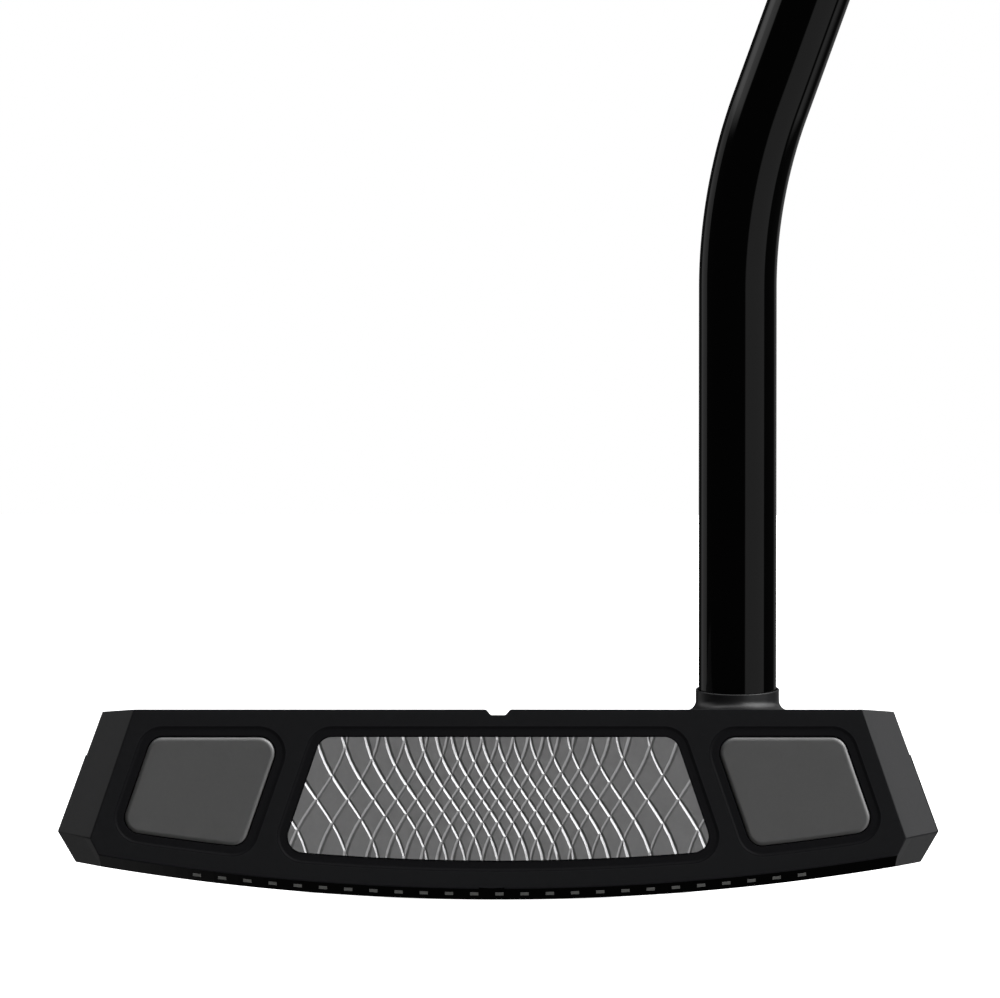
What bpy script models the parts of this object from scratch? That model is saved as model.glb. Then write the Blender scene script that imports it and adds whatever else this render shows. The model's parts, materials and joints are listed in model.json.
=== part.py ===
"""A right-handed mallet putter with a bent shaft, built as an assembly of its separate pieces.

Lengths are in metres and +Z is up. The face looks towards -Y, the heel is at +X and the toe at -X.
The origin is on the ground, at the middle of the sole plate.
"""

import math

import bmesh
import bpy
from mathutils import Matrix, Vector

MM = 0.001
GAP = 0.3 * MM  # clearance between pieces that fit together
ROUND_SIDES = 32
CORNER_STEPS = 5
SHARP_ANGLE = math.radians(30)

# The head's heel-to-toe sections. Each corner is (half width, height above the ground).
SOLE_RADIUS = 290 * MM
SOLE_SEGMENTS = 21  # odd, so that the middle facet is level
LOFT = math.radians(3)
FACE_Y = -30 * MM  # where the face plane meets the ground
TOP_LINE = 23.0 * MM
FACE_TOP = (44.0 * MM, TOP_LINE)
FACE_SIDE = (49.3 * MM, 7.43 * MM)
FACE_LOW_HALF = 48.3 * MM
OUTER_TOP = (47.87 * MM, 22.7 * MM)
OUTER_SIDE = (53.2 * MM, 8.15 * MM)
OUTER_LOW_HALF = 51.1 * MM
STRIP_HEIGHT = 1.39 * MM  # the polished strip between the face plane and the sole
STRIP_DEPTH = 0.88 * MM
STRIP_LOW_HALF = 48.0 * MM
CHAMFER_DEPTH = 4.5 * MM  # how far the toe and heel facets run back
BLOCK_BACK_Y = -16 * MM
CROWN_HALF = 43.5 * MM  # the level part of the crown
CROWN_SLOPE = math.tan(math.radians(1))

# The alignment notch across the crown.
NOTCH_TOP_HALF = 1.43 * MM
NOTCH_FLOOR_HALF = 0.78 * MM
NOTCH_DEPTH = 0.71 * MM

# The three pockets in the face, and what sits in them. A side is (x at PANEL_MID, slope dx/dz).
PANEL_MID = 13.16 * MM
PANEL_TOP = 19.65 * MM
PANEL_ABOVE_SOLE = 4.74 * MM
PANEL_CORNER = 1.93 * MM
PANEL_BEVEL = 0.36 * MM
PANEL_THICKNESS = 3.8 * MM
PANEL_BOTTOM_SHARES = (0.25, 0.5, 0.75)  # where the bottom has points between its corners
SETTLE_STEPS = 6
INSERT_SIDES = ((-23.63 * MM, 0.344), (23.63 * MM, -0.344))
TOE_SIDES = ((-44.12 * MM, 0.348), (-28.46 * MM, 0.348))
HEEL_SIDES = ((28.26 * MM, -0.348), (43.92 * MM, -0.348))
PAD_THICKNESS = 0.5 * MM
PAD_INSET = 0.6 * MM
LEDGE_WIDTH = 1.2 * MM
LEDGE_DEPTH = 0.2 * MM
POCKET_DEPTH = PANEL_THICKNESS + PAD_THICKNESS + 2 * GAP

# The hosel: a collar on the crown with a post that the shaft slides over.
HOSEL_X = 28.95 * MM
HOSEL_BEHIND_FACE = 6.36 * MM
HOSEL_LEAN = math.radians(8)  # towards the target
HOSEL_ROOT = 6 * MM
COLLAR_RADIUS = 5.05 * MM
COLLAR_HEIGHT = 2.6 * MM
COLLAR_FLARE = 1.2 * MM
FLARE_STEPS = 5
POST_RADIUS = 3.85 * MM
POST_HEIGHT = 24 * MM

# The rear body. Plan rows are (y, half width at the widest height, rise of the sole, body top).
BODY_FRONT_Y = BLOCK_BACK_Y + GAP
BODY_PLAN = (
    (BODY_FRONT_Y, 53.4 * MM, 0.0, 17.4 * MM),
    (5 * MM, 53.4 * MM, 0.0, 16.2 * MM),
    (38 * MM, 34.1 * MM, 0.0, 14.3 * MM),
    (45 * MM, 30.0 * MM, 1.2 * MM, 13.9 * MM),
    (52 * MM, 20.0 * MM, 3.2 * MM, 13.5 * MM),
)
SIDE_SLOPE = (OUTER_SIDE[0] - OUTER_TOP[0]) / (OUTER_TOP[1] - OUTER_SIDE[1])
LOW_INSET = OUTER_SIDE[0] - OUTER_LOW_HALF
WINDOW_FRONT_Y = -7 * MM
WINDOW_CORNER = 3 * MM
WINDOW_PLAN = (  # the heel-side window's corners, (x, y)
    (14 * MM, WINDOW_FRONT_Y),
    (43.3 * MM, WINDOW_FRONT_Y),
    (43.3 * MM, 4 * MM),
    (24.5 * MM, 38 * MM),
    (14 * MM, 38 * MM),
)

# The sole plate under the spine, and the damper in the cavity above it.
PLATE_HALF = 10.5 * MM
PLATE_FRONT_Y = -11 * MM
PLATE_BACK_Y = 36 * MM
PLATE_TOP = 1.9 * MM
PLATE_CORNER = 2.5 * MM
PLATE_SEGMENTS = 5
CAVITY_HALF = 8 * MM
CAVITY_FRONT_Y = -4 * MM
CAVITY_BACK_Y = 29 * MM
CAVITY_TOP = 8.5 * MM

# The alignment bar on the spine, with its inlaid sight line.
BAR_HALF = 6 * MM
BAR_CHAMFER = 0.8 * MM
BAR_TOP_FRONT = 21.3 * MM
BAR_TOP_BACK = 19.2 * MM
BAR_BACK_Y = 42 * MM
BAR_TAIL = 4 * MM
SLOT_HALF = 1.5 * MM
SLOT_DEPTH = 0.7 * MM
SLOT_END_MARGIN = 3 * MM

# Screws: (shank radius, shank length, head radius, head height, across-flats half of the hex socket).
BODY_SCREW = (1.8 * MM, 12.4 * MM, 3.2 * MM, 2.8 * MM, 1.25 * MM)
BAR_SCREW = (1.4 * MM, 7.6 * MM, 2.6 * MM, 1.8 * MM, 1.0 * MM)
PLATE_SCREW = (1.1 * MM, 4.6 * MM, 2.1 * MM, 1.2 * MM, 0.65 * MM)
BODY_SCREW_X = (-32 * MM, -20 * MM, 20 * MM, 32 * MM)
BODY_SCREW_Z = 10.5 * MM
BAR_SCREW_Y = {"front": -1 * MM, "rear": 26 * MM}
PLATE_SCREW_X = 6.4 * MM
PLATE_SCREW_Y = {"front": -7.6 * MM, "rear": 32.6 * MM}
SOCKET_SHARE = 0.6  # of the head's height
SCREW_CHAMFER = 0.3 * MM

# The shaft: distances run along its axis from the crown.
SHAFT_RADIUS = 4.7 * MM
SHAFT_BUTT_RADIUS = 7.35 * MM
SHAFT_WALL = 0.5 * MM
BEND_START = 51.5 * MM
BEND_RADIUS = 60.5 * MM
BEND_STEPS = 14
LIE = math.radians(70)
PUTTER_LENGTH = 864 * MM  # along the upper shaft's axis, from the ground to the end of the grip
TAPER_START = 60 * MM  # above the bend
TAPER_LENGTH = 400 * MM
TAPER_STEPS = 4

# The grip: rows are (distance below its end, side half width, flat, back), measured from the axis.
GRIP_LENGTH = 267 * MM
GRIP_ROWS = (
    (0.0, 13.5 * MM, 12.5 * MM, 15.0 * MM),
    (30 * MM, 14.0 * MM, 12.6 * MM, 17.5 * MM),
    (110 * MM, 13.2 * MM, 12.2 * MM, 14.0 * MM),
    (190 * MM, 12.4 * MM, 11.8 * MM, 12.6 * MM),
    (GRIP_LENGTH, 11.5 * MM, 11.3 * MM, 11.5 * MM),
)
GRIP_SIDES = 28
GRIP_STEPS = 10
GRIP_FLAT_REACH = 1.2  # the uncut front would stand this many half widths out
GRIP_CAP_THICKNESS = 4 * MM
GRIP_CAP_EDGE = 1.2 * MM
GRIP_CAP_EDGE_INNER = 0.4 * MM
GRIP_SKIN = 1.5 * MM
GRIP_LIP = 4 * MM  # the skin's lower end, where it closes on the shaft
TAPE_THICKNESS = 0.25 * MM
TAPE_GAP = 0.25 * MM
TAPE_INNER = SHAFT_BUTT_RADIUS + TAPE_GAP
TAPE_OUTER = TAPE_INNER + TAPE_THICKNESS
CORE_INNER = TAPE_OUTER + TAPE_GAP
VENT_RADIUS = 1.2 * MM

# Colour (linear), roughness and metallic value of each finish.
FINISHES = {
    "satin_black": ((0.010, 0.010, 0.011), 0.45, 0.6),
    "milled_aluminium": ((0.24, 0.24, 0.25), 0.35, 1.0),
    "tungsten_grey": ((0.075, 0.075, 0.078), 0.4, 0.9),
    "gloss_black": ((0.004, 0.004, 0.005), 0.15, 0.3),
    "dark_screw": ((0.05, 0.05, 0.052), 0.35, 0.9),
    "white_inlay": ((0.80, 0.80, 0.78), 0.4, 0.0),
    "elastomer": ((0.030, 0.030, 0.032), 0.8, 0.0),
    "bonding_film": ((0.55, 0.52, 0.45), 0.6, 0.0),
    "foam_core": ((0.10, 0.10, 0.10), 0.9, 0.0),
    "grip_skin": ((0.020, 0.020, 0.021), 0.7, 0.0),
    "grip_cap": ((0.012, 0.012, 0.012), 0.4, 0.0),
}


def clear_scene():
    for old in list(bpy.data.objects):
        bpy.data.objects.remove(old)


def make_material(finish):
    colour, roughness, metallic = FINISHES[finish]
    material = bpy.data.materials.get(finish) or bpy.data.materials.new(finish)
    material.use_nodes = True
    shader = material.node_tree.nodes["Principled BSDF"]
    shader.inputs["Base Color"].default_value = (*colour, 1.0)
    shader.inputs["Roughness"].default_value = roughness
    shader.inputs["Metallic"].default_value = metallic
    return material


def make_object(name, shape):
    """An object in the scene that holds the bmesh."""
    mesh = bpy.data.meshes.new(name)
    shape.to_mesh(mesh)
    shape.free()
    made = bpy.data.objects.new(name, mesh)
    bpy.context.scene.collection.objects.link(made)
    return made


def make_piece(name, shape, finish, smooth=False):
    made = make_object(name, shape)
    made.data.materials.append(make_material(finish))
    if smooth:
        made.data.shade_smooth()
        made.data.set_sharp_from_angle(angle=SHARP_ANGLE)
    return made


def combine(piece, name, shape, operation):
    """Adds a Boolean to the piece. The other shape stays in the scene as a hidden helper."""
    helper = make_object(name, shape)
    helper.hide_render = True
    helper.display_type = "WIRE"
    modifier = piece.modifiers.new(name, "BOOLEAN")
    modifier.operation = operation
    modifier.solver = "EXACT"
    modifier.object = helper


def cut(piece, name, shape):
    combine(piece, name, shape, "DIFFERENCE")


def join(piece, name, shape):
    combine(piece, name, shape, "UNION")


# Shapes


def loft(rings, closed=False):
    """A solid through rings of equally many points, either capped at its ends or closed on itself."""
    shape = bmesh.new()
    loops = [[shape.verts.new(point) for point in ring] for ring in rings]
    pairs = list(zip(loops, loops[1:]))
    if closed:
        pairs.append((loops[-1], loops[0]))
    else:
        shape.faces.new(loops[0])
        shape.faces.new(loops[-1])
    count = len(rings[0])
    for near, far in pairs:
        for i in range(count):
            j = (i + 1) % count
            shape.faces.new((near[i], near[j], far[j], far[i]))
    bmesh.ops.recalc_face_normals(shape, faces=shape.faces)
    return shape


def circle(radius, height, place=Matrix(), sides=ROUND_SIDES):
    """Points of a circle round the local Z axis of `place`."""
    turns = [2 * math.pi * i / sides for i in range(sides)]
    return [place @ Vector((radius * math.cos(a), radius * math.sin(a), height)) for a in turns]


def hexagon(half_flats, height, place=Matrix()):
    """As many points as a circle has, spread round a hexagon."""
    points = []
    for i in range(ROUND_SIDES):
        turn = 2 * math.pi * i / ROUND_SIDES
        radius = half_flats / math.cos(turn % (math.pi / 3) - math.pi / 6)
        points.append(place @ Vector((radius * math.cos(turn), radius * math.sin(turn), height)))
    return points


def turned(profile, place=Matrix()):
    """A turned solid: the profile is (radius, height) pairs along the local Z axis of `place`."""
    return loft([circle(radius, height, place) for radius, height in profile])


def block(x_range, y_range, z_range):
    low, high = zip(x_range, y_range, z_range)
    corners = ((low[0], low[1]), (high[0], low[1]), (high[0], high[1]), (low[0], high[1]))
    return loft([[(x, y, z) for x, y in corners] for z in (low[2], high[2])])


def rounded(corners):
    """The outline through (x, y, radius) corners, each one turned into an arc of its radius."""
    outline = []
    for i, (x, y, radius) in enumerate(corners):
        corner = Vector((x, y))
        if not radius:
            outline.append(corner)
            continue
        before = (Vector(corners[i - 1][:2]) - corner).normalized()
        after = (Vector(corners[(i + 1) % len(corners)][:2]) - corner).normalized()
        half_angle = before.angle(after) / 2
        centre = corner + (before + after).normalized() * radius / math.sin(half_angle)
        reach = radius / math.tan(half_angle)
        start = (corner + before * reach - centre).normalized()
        end = (corner + after * reach - centre).normalized()
        for step in range(CORNER_STEPS + 1):
            outline.append(centre + start.slerp(end, step / CORNER_STEPS) * radius)
    return outline


# The head's sections


def sole_height(x):
    return SOLE_RADIUS - math.sqrt(SOLE_RADIUS**2 - x**2)


def sole_arc(half_width, lift=0.0, segments=SOLE_SEGMENTS):
    """(x, z) points of the sole from heel to toe, with the middle facet exactly at the lift."""
    level = sole_height(half_width / segments)
    xs = [half_width * (1 - 2 * i / segments) for i in range(segments + 1)]
    return [(x, sole_height(x) - level + lift) for x in xs]


def head_section(top, side, low_half, lift=0.0, crown=()):
    """(x, z) points round the head: toe corner, crown, heel corner, heel, sole and toe."""
    return [
        (-top[0], top[1]),
        *crown,
        top,
        side,
        *sole_arc(low_half, lift),
        (-side[0], side[1]),
    ]


def between(a, b, share):
    return tuple(p + (q - p) * share for p, q in zip(a, b))


def behind_face(distance, x, z):
    """The point at (x, z) that lies this far behind the lofted face plane."""
    return (x, FACE_Y + distance + z * math.tan(LOFT), z)


def crown_height(y):
    return TOP_LINE - CROWN_SLOPE * (y - FACE_Y)


def level_crown(y):
    """The ends of the crown's level part, which the corners outside it fall away from."""
    return (-CROWN_HALF, crown_height(y)), (CROWN_HALF, crown_height(y))


def face_frame_body():
    """The front block: face plane, polished strip, toe and heel facets, and a flat back."""
    share = STRIP_DEPTH / CHAMFER_DEPTH
    fall = crown_height(BLOCK_BACK_Y) - crown_height(FACE_Y + CHAMFER_DEPTH)
    face = head_section(FACE_TOP, FACE_SIDE, FACE_LOW_HALF, STRIP_HEIGHT, level_crown(FACE_Y))
    strip = head_section(
        between(FACE_TOP, OUTER_TOP, share),
        between(FACE_SIDE, OUTER_SIDE, share),
        STRIP_LOW_HALF,
        crown=level_crown(FACE_Y + STRIP_DEPTH),
    )
    outer_crown = level_crown(FACE_Y + CHAMFER_DEPTH)
    outer = head_section(OUTER_TOP, OUTER_SIDE, OUTER_LOW_HALF, crown=outer_crown)
    back_top = (OUTER_TOP[0], OUTER_TOP[1] + fall)
    back = head_section(back_top, OUTER_SIDE, OUTER_LOW_HALF, crown=level_crown(BLOCK_BACK_Y))
    rings = [
        [behind_face(0.0, x, z) for x, z in face],
        [behind_face(STRIP_DEPTH, x, z) for x, z in strip],
        [behind_face(CHAMFER_DEPTH, x, z) for x, z in outer],
        [(x, BLOCK_BACK_Y, z) for x, z in back],
    ]
    return loft(rings)


def notch_cutter():
    """A trapezoid groove along Y, open above the crown."""
    floor = TOP_LINE - NOTCH_DEPTH
    slope = (NOTCH_TOP_HALF - NOTCH_FLOOR_HALF) / NOTCH_DEPTH
    above = TOP_LINE + NOTCH_DEPTH
    wide = NOTCH_FLOOR_HALF + slope * (above - floor)
    section = [(-NOTCH_FLOOR_HALF, floor), (NOTCH_FLOOR_HALF, floor), (wide, above), (-wide, above)]
    ends = (FACE_Y - NOTCH_DEPTH, BLOCK_BACK_Y + NOTCH_DEPTH)
    return loft([[(x, y, z) for x, z in section] for y in ends])


# The pockets in the face


def panel_outline(sides, grow=0.0):
    """(x, z) outline of a pocket or of the piece in it, with straight sides and a sole-like bottom."""
    top = PANEL_TOP + grow
    lines = []
    for direction, (middle, slope) in zip((-1, 1), sides):
        lines.append((middle + direction * grow * math.hypot(1, slope), slope))

    def on_line(line, z):
        return line[0] + line[1] * (z - PANEL_MID)

    def bottom(x):
        return sole_height(x) + PANEL_ABOVE_SOLE - grow

    lows = []
    for line in lines:
        z = PANEL_MID
        for _ in range(SETTLE_STEPS):
            z = bottom(on_line(line, z))
        lows.append((on_line(line, z), z))
    radius = PANEL_CORNER + grow
    middle_xs = [lows[1][0] + (lows[0][0] - lows[1][0]) * share for share in PANEL_BOTTOM_SHARES]
    corners = [
        (on_line(lines[0], top), top, radius),
        (on_line(lines[1], top), top, radius),
        (*lows[1], radius),
        *((x, bottom(x), 0) for x in middle_xs),
        (*lows[0], radius),
    ]
    return rounded(corners)


def face_prism(sides, layers):
    """A solid through (distance behind the face, growth) layers of one panel outline."""
    return loft([[behind_face(y, x, z) for x, z in panel_outline(sides, grow)] for y, grow in layers])


def ledge_cutter(sides):
    return face_prism(sides, ((-LEDGE_WIDTH, LEDGE_WIDTH), (LEDGE_DEPTH, LEDGE_WIDTH)))


def pocket_cutter(sides):
    return face_prism(sides, ((-LEDGE_WIDTH, GAP), (POCKET_DEPTH, GAP)))


def panel(sides):
    """A weight or the insert, with a small bevel round its front."""
    return face_prism(sides, ((0.0, -PANEL_BEVEL), (PANEL_BEVEL, 0.0), (PANEL_THICKNESS, 0.0)))


def panel_pad(sides):
    front = PANEL_THICKNESS + GAP
    return face_prism(sides, ((front, -PAD_INSET), (front + PAD_THICKNESS, -PAD_INSET)))


# The hosel


def hosel_place():
    """The hosel's frame: on the crown, with Z up the shaft."""
    along_face = FACE_Y + TOP_LINE * math.tan(LOFT) + HOSEL_BEHIND_FACE
    on_crown = Vector((HOSEL_X, along_face, crown_height(along_face)))
    return Matrix.Translation(on_crown) @ Matrix.Rotation(HOSEL_LEAN, 4, "X")


def hosel_ring(radius, height, follow=0.0):
    """A ring round the hosel's axis. With follow 1 it lies along the crown, with 0 it is square."""
    slope = follow * math.tan(HOSEL_LEAN + math.atan(CROWN_SLOPE))
    place = hosel_place()
    flat = circle(radius, height)
    return [place @ Vector((point.x, point.y, point.z - slope * point.y)) for point in flat]


def hosel():
    """The post and its collar, flared onto the crown."""
    rings = [hosel_ring(COLLAR_RADIUS, -HOSEL_ROOT, 1.0)]
    for step in range(FLARE_STEPS + 1):
        turn = math.pi / 2 * step / FLARE_STEPS
        radius = COLLAR_RADIUS + COLLAR_FLARE * (1 - math.sin(turn))
        rings.append(hosel_ring(radius, COLLAR_FLARE * (1 - math.cos(turn)), 1.0))
    rings += [
        hosel_ring(COLLAR_RADIUS, COLLAR_HEIGHT),
        hosel_ring(POST_RADIUS, COLLAR_HEIGHT),
        hosel_ring(POST_RADIUS, POST_HEIGHT - SCREW_CHAMFER),
        hosel_ring(POST_RADIUS - SCREW_CHAMFER, POST_HEIGHT),
    ]
    return loft(rings)


# Screws


def screw_place(point, toward):
    """A frame at `point` whose Z runs from the screw's tip to its head."""
    return Matrix.Translation(point) @ Vector(toward).to_track_quat("Z", "Y").to_matrix().to_4x4()


def screw_shape(size, place, countersunk=False):
    """A screw with a hex socket. The underside of its head is at the origin of `place`."""
    shank, length, head, head_height, socket = size
    rings = [
        circle(shank - SCREW_CHAMFER, -length, place),
        circle(shank, SCREW_CHAMFER - length, place),
        circle(shank, 0.0, place),
    ]
    if countersunk:
        rings.append(circle(head, head_height, place))
    else:
        rings.append(circle(head, 0.0, place))
        rings.append(circle(head, head_height - SCREW_CHAMFER, place))
        rings.append(circle(head - SCREW_CHAMFER, head_height, place))
    rings.append(hexagon(socket, head_height, place))
    rings.append(hexagon(socket, head_height * (1 - SOCKET_SHARE), place))
    return loft(rings)


def screw_hole(size, place, recess, countersunk=False):
    """The room that a screw needs, with its head recessed from `recess` above its seat."""
    shank, length, head, head_height, _ = size
    profile = [(shank + GAP, -length - GAP)]
    if countersunk:
        slope = (head - shank) / head_height
        profile.append((shank + GAP, 0.0))
        profile.append((shank + GAP + slope * (head_height + recess), head_height + recess))
    else:
        profile.append((shank + GAP, -GAP))
        profile.append((head + GAP, -GAP))
        profile.append((head + GAP, recess))
    return turned(profile, place)


def body_screw_place(x):
    seat_y = WINDOW_FRONT_Y - BODY_SCREW[3] - GAP
    return screw_place((x, seat_y, BODY_SCREW_Z), (0, 1, 0))


def bar_screw_place(y):
    seat_z = CAVITY_TOP + BAR_SCREW[3] + GAP
    return screw_place((0, y, seat_z), (0, 0, -1))


def plate_screw_place(x, y):
    """The screw's place, with its head recessed by one gap from the cambered plate."""
    seat_z = PLATE_SCREW[3] + sole_height(PLATE_SCREW_X) + GAP
    return screw_place((x, y, seat_z), (0, 0, -1))


def plate_screws():
    """(name, place) of each sole plate screw."""
    found = []
    for end, y in PLATE_SCREW_Y.items():
        for side, x in (("toe", -PLATE_SCREW_X), ("heel", PLATE_SCREW_X)):
            found.append((f"sole_plate_screw_{end}_{side}", plate_screw_place(x, y)))
    return found


# The rear body and what it carries


def body_top(y):
    """Height of the rear body's top, read along its plan rows."""
    for near, far in zip(BODY_PLAN, BODY_PLAN[1:]):
        if y <= far[0]:
            share = (y - near[0]) / (far[0] - near[0])
            return near[3] + (far[3] - near[3]) * share
    return BODY_PLAN[-1][3]


def rear_body_shell():
    rings = []
    for y, half, rise, top in BODY_PLAN:
        top_half = half - SIDE_SLOPE * (top - OUTER_SIDE[1])
        section = head_section(
            (top_half, top), (half, OUTER_SIDE[1] + rise), half - LOW_INSET, rise
        )
        rings.append([(x, y, z) for x, z in section])
    return loft(rings)


def window_cutter(mirror):
    """The opening between the spine and one rail; `mirror` is 1 for the heel and -1 for the toe."""
    outline = rounded([(mirror * x, y, WINDOW_CORNER) for x, y in WINDOW_PLAN])
    return loft([[(x, y, z) for x, y in outline] for z in (-TOP_LINE, TOP_LINE)])


def plate_shape(grow=0.0, low=None):
    """The sole plate, or its pocket when it is grown and given a level underside."""
    half = PLATE_HALF + grow
    front, back = PLATE_FRONT_Y - grow, PLATE_BACK_Y + grow
    top = PLATE_TOP + grow
    rings = []
    for y, inset in (
        (front, PLATE_CORNER),
        (front + PLATE_CORNER, 0.0),
        (back - PLATE_CORNER, 0.0),
        (back, PLATE_CORNER),
    ):
        width = half - inset
        if low is None:
            underside = sole_arc(width, 0.0, PLATE_SEGMENTS)
        else:
            underside = [(width, low), (-width, low)]
        rings.append([(x, y, z) for x, z in [(-width, top), (width, top), *underside]])
    return loft(rings)


def cavity_shape(shrink=0.0):
    low = PLATE_TOP + shrink if shrink else 0.0
    return block(
        (shrink - CAVITY_HALF, CAVITY_HALF - shrink),
        (CAVITY_FRONT_Y + shrink, CAVITY_BACK_Y - shrink),
        (low, CAVITY_TOP - shrink),
    )


def bar_section(y, top, half):
    base = body_top(y) + GAP
    section = (
        (-half, base),
        (-half, top - BAR_CHAMFER),
        (BAR_CHAMFER - half, top),
        (half - BAR_CHAMFER, top),
        (half, top - BAR_CHAMFER),
        (half, base),
    )
    return [(x, y, z) for x, z in section]


def bar_top(y):
    share = (y - BODY_FRONT_Y) / (BAR_BACK_Y - BODY_FRONT_Y)
    return BAR_TOP_FRONT + (BAR_TOP_BACK - BAR_TOP_FRONT) * share


def alignment_bar_shape():
    """A chamfered bar whose tail narrows and drops onto the rear body."""
    knee = BODY_PLAN[1][0]  # the rear body's top changes slope here
    tail_y = BAR_BACK_Y + BAR_TAIL
    return loft(
        [
            bar_section(BODY_FRONT_Y, bar_top(BODY_FRONT_Y), BAR_HALF),
            bar_section(knee, bar_top(knee), BAR_HALF),
            bar_section(BAR_BACK_Y, bar_top(BAR_BACK_Y), BAR_HALF),
            bar_section(tail_y, body_top(tail_y) + 2 * BAR_CHAMFER, BAR_HALF / 2),
        ]
    )


def sight_slot(shrink=0.0):
    """The slot in the bar's top, or its inlay when it is shrunk."""
    half = SLOT_HALF - shrink
    rings = []
    for y in (BODY_FRONT_Y + SLOT_END_MARGIN + shrink, BAR_BACK_Y - SLOT_END_MARGIN - shrink):
        top = bar_top(y) if shrink else bar_top(y) + SLOT_DEPTH
        low = bar_top(y) - SLOT_DEPTH + shrink
        section = ((-half, low), (half, low), (half, top), (-half, top))
        rings.append([(x, y, z) for x, z in section])
    return loft(rings)


# The shaft and the grip


def shaft_bend():
    """The bend's (point, direction) stations, from the hosel's lean to the lie angle."""
    place = hosel_place()
    low = (place.to_3x3() @ Vector((0, 0, 1))).normalized()
    high = Vector((math.cos(LIE), 0, math.sin(LIE)))
    angle = low.angle(high)
    inward = (high - low * math.cos(angle)) / math.sin(angle)
    start = place.translation + low * BEND_START
    stations = []
    for step in range(BEND_STEPS + 1):
        turn = angle * step / BEND_STEPS
        offset = low * math.sin(turn) + inward * (1 - math.cos(turn))
        direction = low * math.cos(turn) + inward * math.sin(turn)
        stations.append((start + offset * BEND_RADIUS, direction))
    return stations


def grip_end():
    """The middle of the grip's end, on the upper shaft's axis."""
    point, direction = shaft_bend()[-1]
    return point + direction * (PUTTER_LENGTH * math.sin(LIE) - point.z) / direction.z


def shaft_shape():
    """The bent tube, with its tip on the collar and its butt under the grip's cap."""
    bend = shaft_bend()
    low, high = bend[0][1], bend[-1][1]
    crown = hosel_place().translation
    stations = [(crown + low * (COLLAR_HEIGHT + GAP), low, SHAFT_RADIUS)]
    stations += [(point, direction, SHAFT_RADIUS) for point, direction in bend]
    for step in range(TAPER_STEPS + 1):
        share = step / TAPER_STEPS
        point = bend[-1][0] + high * (TAPER_START + TAPER_LENGTH * share)
        stations.append((point, high, SHAFT_RADIUS + (SHAFT_BUTT_RADIUS - SHAFT_RADIUS) * share))
    butt = grip_end() - high * (GRIP_CAP_THICKNESS + GAP)
    stations.append((butt, high, SHAFT_BUTT_RADIUS))
    across = low.cross(high).normalized()
    outer, inner = [], []
    for point, direction, radius in stations:
        axes = Matrix((across, direction.cross(across), direction)).transposed().to_4x4()
        place = Matrix.Translation(point) @ axes
        outer.append(circle(radius, 0.0, place))
        inner.append(circle(radius - SHAFT_WALL, 0.0, place))
    return loft(outer + inner[::-1], closed=True)


def grip_place():
    """The grip's frame: X looks out of its flat, and Z runs up the shaft to its end."""
    up = Vector((math.cos(LIE), 0, math.sin(LIE)))
    flat = Vector((-math.sin(LIE), 0, math.cos(LIE)))
    axes = Matrix((flat, up.cross(flat), up)).transposed().to_4x4()
    return Matrix.Translation(grip_end()) @ axes


def grip_ring(below, inset=0.0):
    """The grip's D-shaped section this far below its end, made smaller by the inset."""
    below = min(max(below, 0.0), GRIP_LENGTH)
    for near, far in zip(GRIP_ROWS, GRIP_ROWS[1:]):
        if below <= far[0]:
            break
    share = (below - near[0]) / (far[0] - near[0])
    eased = share * share * (3 - 2 * share)
    half, flat, back = (p + (q - p) * eased - inset for p, q in zip(near[1:], far[1:]))
    ring = []
    for i in range(GRIP_SIDES):
        turn = 2 * math.pi * i / GRIP_SIDES
        reach = half * GRIP_FLAT_REACH if math.cos(turn) > 0 else back
        out = min(flat, reach * math.cos(turn))
        ring.append(grip_place() @ Vector((out, half * math.sin(turn), -below)))
    return ring


def bore_ring(below, radius):
    return circle(radius, -below, grip_place(), GRIP_SIDES)


def steps_between(first, last, count=GRIP_STEPS):
    return [first + (last - first) * i / count for i in range(count + 1)]


def grip_skin_shape():
    top = GRIP_CAP_THICKNESS + GAP
    lip = GRIP_LENGTH - GRIP_LIP
    outer = [grip_ring(below) for below in steps_between(top, GRIP_LENGTH)]
    closing = [bore_ring(below, TAPE_INNER) for below in (GRIP_LENGTH, lip)]
    inner = [grip_ring(below, GRIP_SKIN) for below in steps_between(lip, top)]
    return loft(outer + closing + inner, closed=True)


def grip_core_shape():
    top = GRIP_CAP_THICKNESS + GAP
    low = GRIP_LENGTH - GRIP_LIP - GAP
    outer = [grip_ring(below, GRIP_SKIN + GAP) for below in steps_between(top, low)]
    inner = [bore_ring(below, CORE_INNER) for below in (low, top)]
    return loft(outer + inner, closed=True)


def grip_tape_shape():
    ends = (GRIP_CAP_THICKNESS + GAP, GRIP_LENGTH - GRIP_LIP - GAP)
    outer = [bore_ring(below, TAPE_OUTER) for below in ends]
    inner = [bore_ring(below, TAPE_INNER) for below in ends[::-1]]
    return loft(outer + inner, closed=True)


def grip_cap_shape():
    """A cap with a rounded edge and a vent hole in the middle."""
    edge = [
        grip_ring(0.0, GRIP_CAP_EDGE),
        grip_ring(GRIP_CAP_EDGE_INNER, GRIP_CAP_EDGE_INNER),
        grip_ring(GRIP_CAP_EDGE),
        grip_ring(GRIP_CAP_THICKNESS),
    ]
    vent = [bore_ring(below, VENT_RADIUS) for below in (GRIP_CAP_THICKNESS, 0.0)]
    return loft(edge + vent, closed=True)


# The assembly


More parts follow.
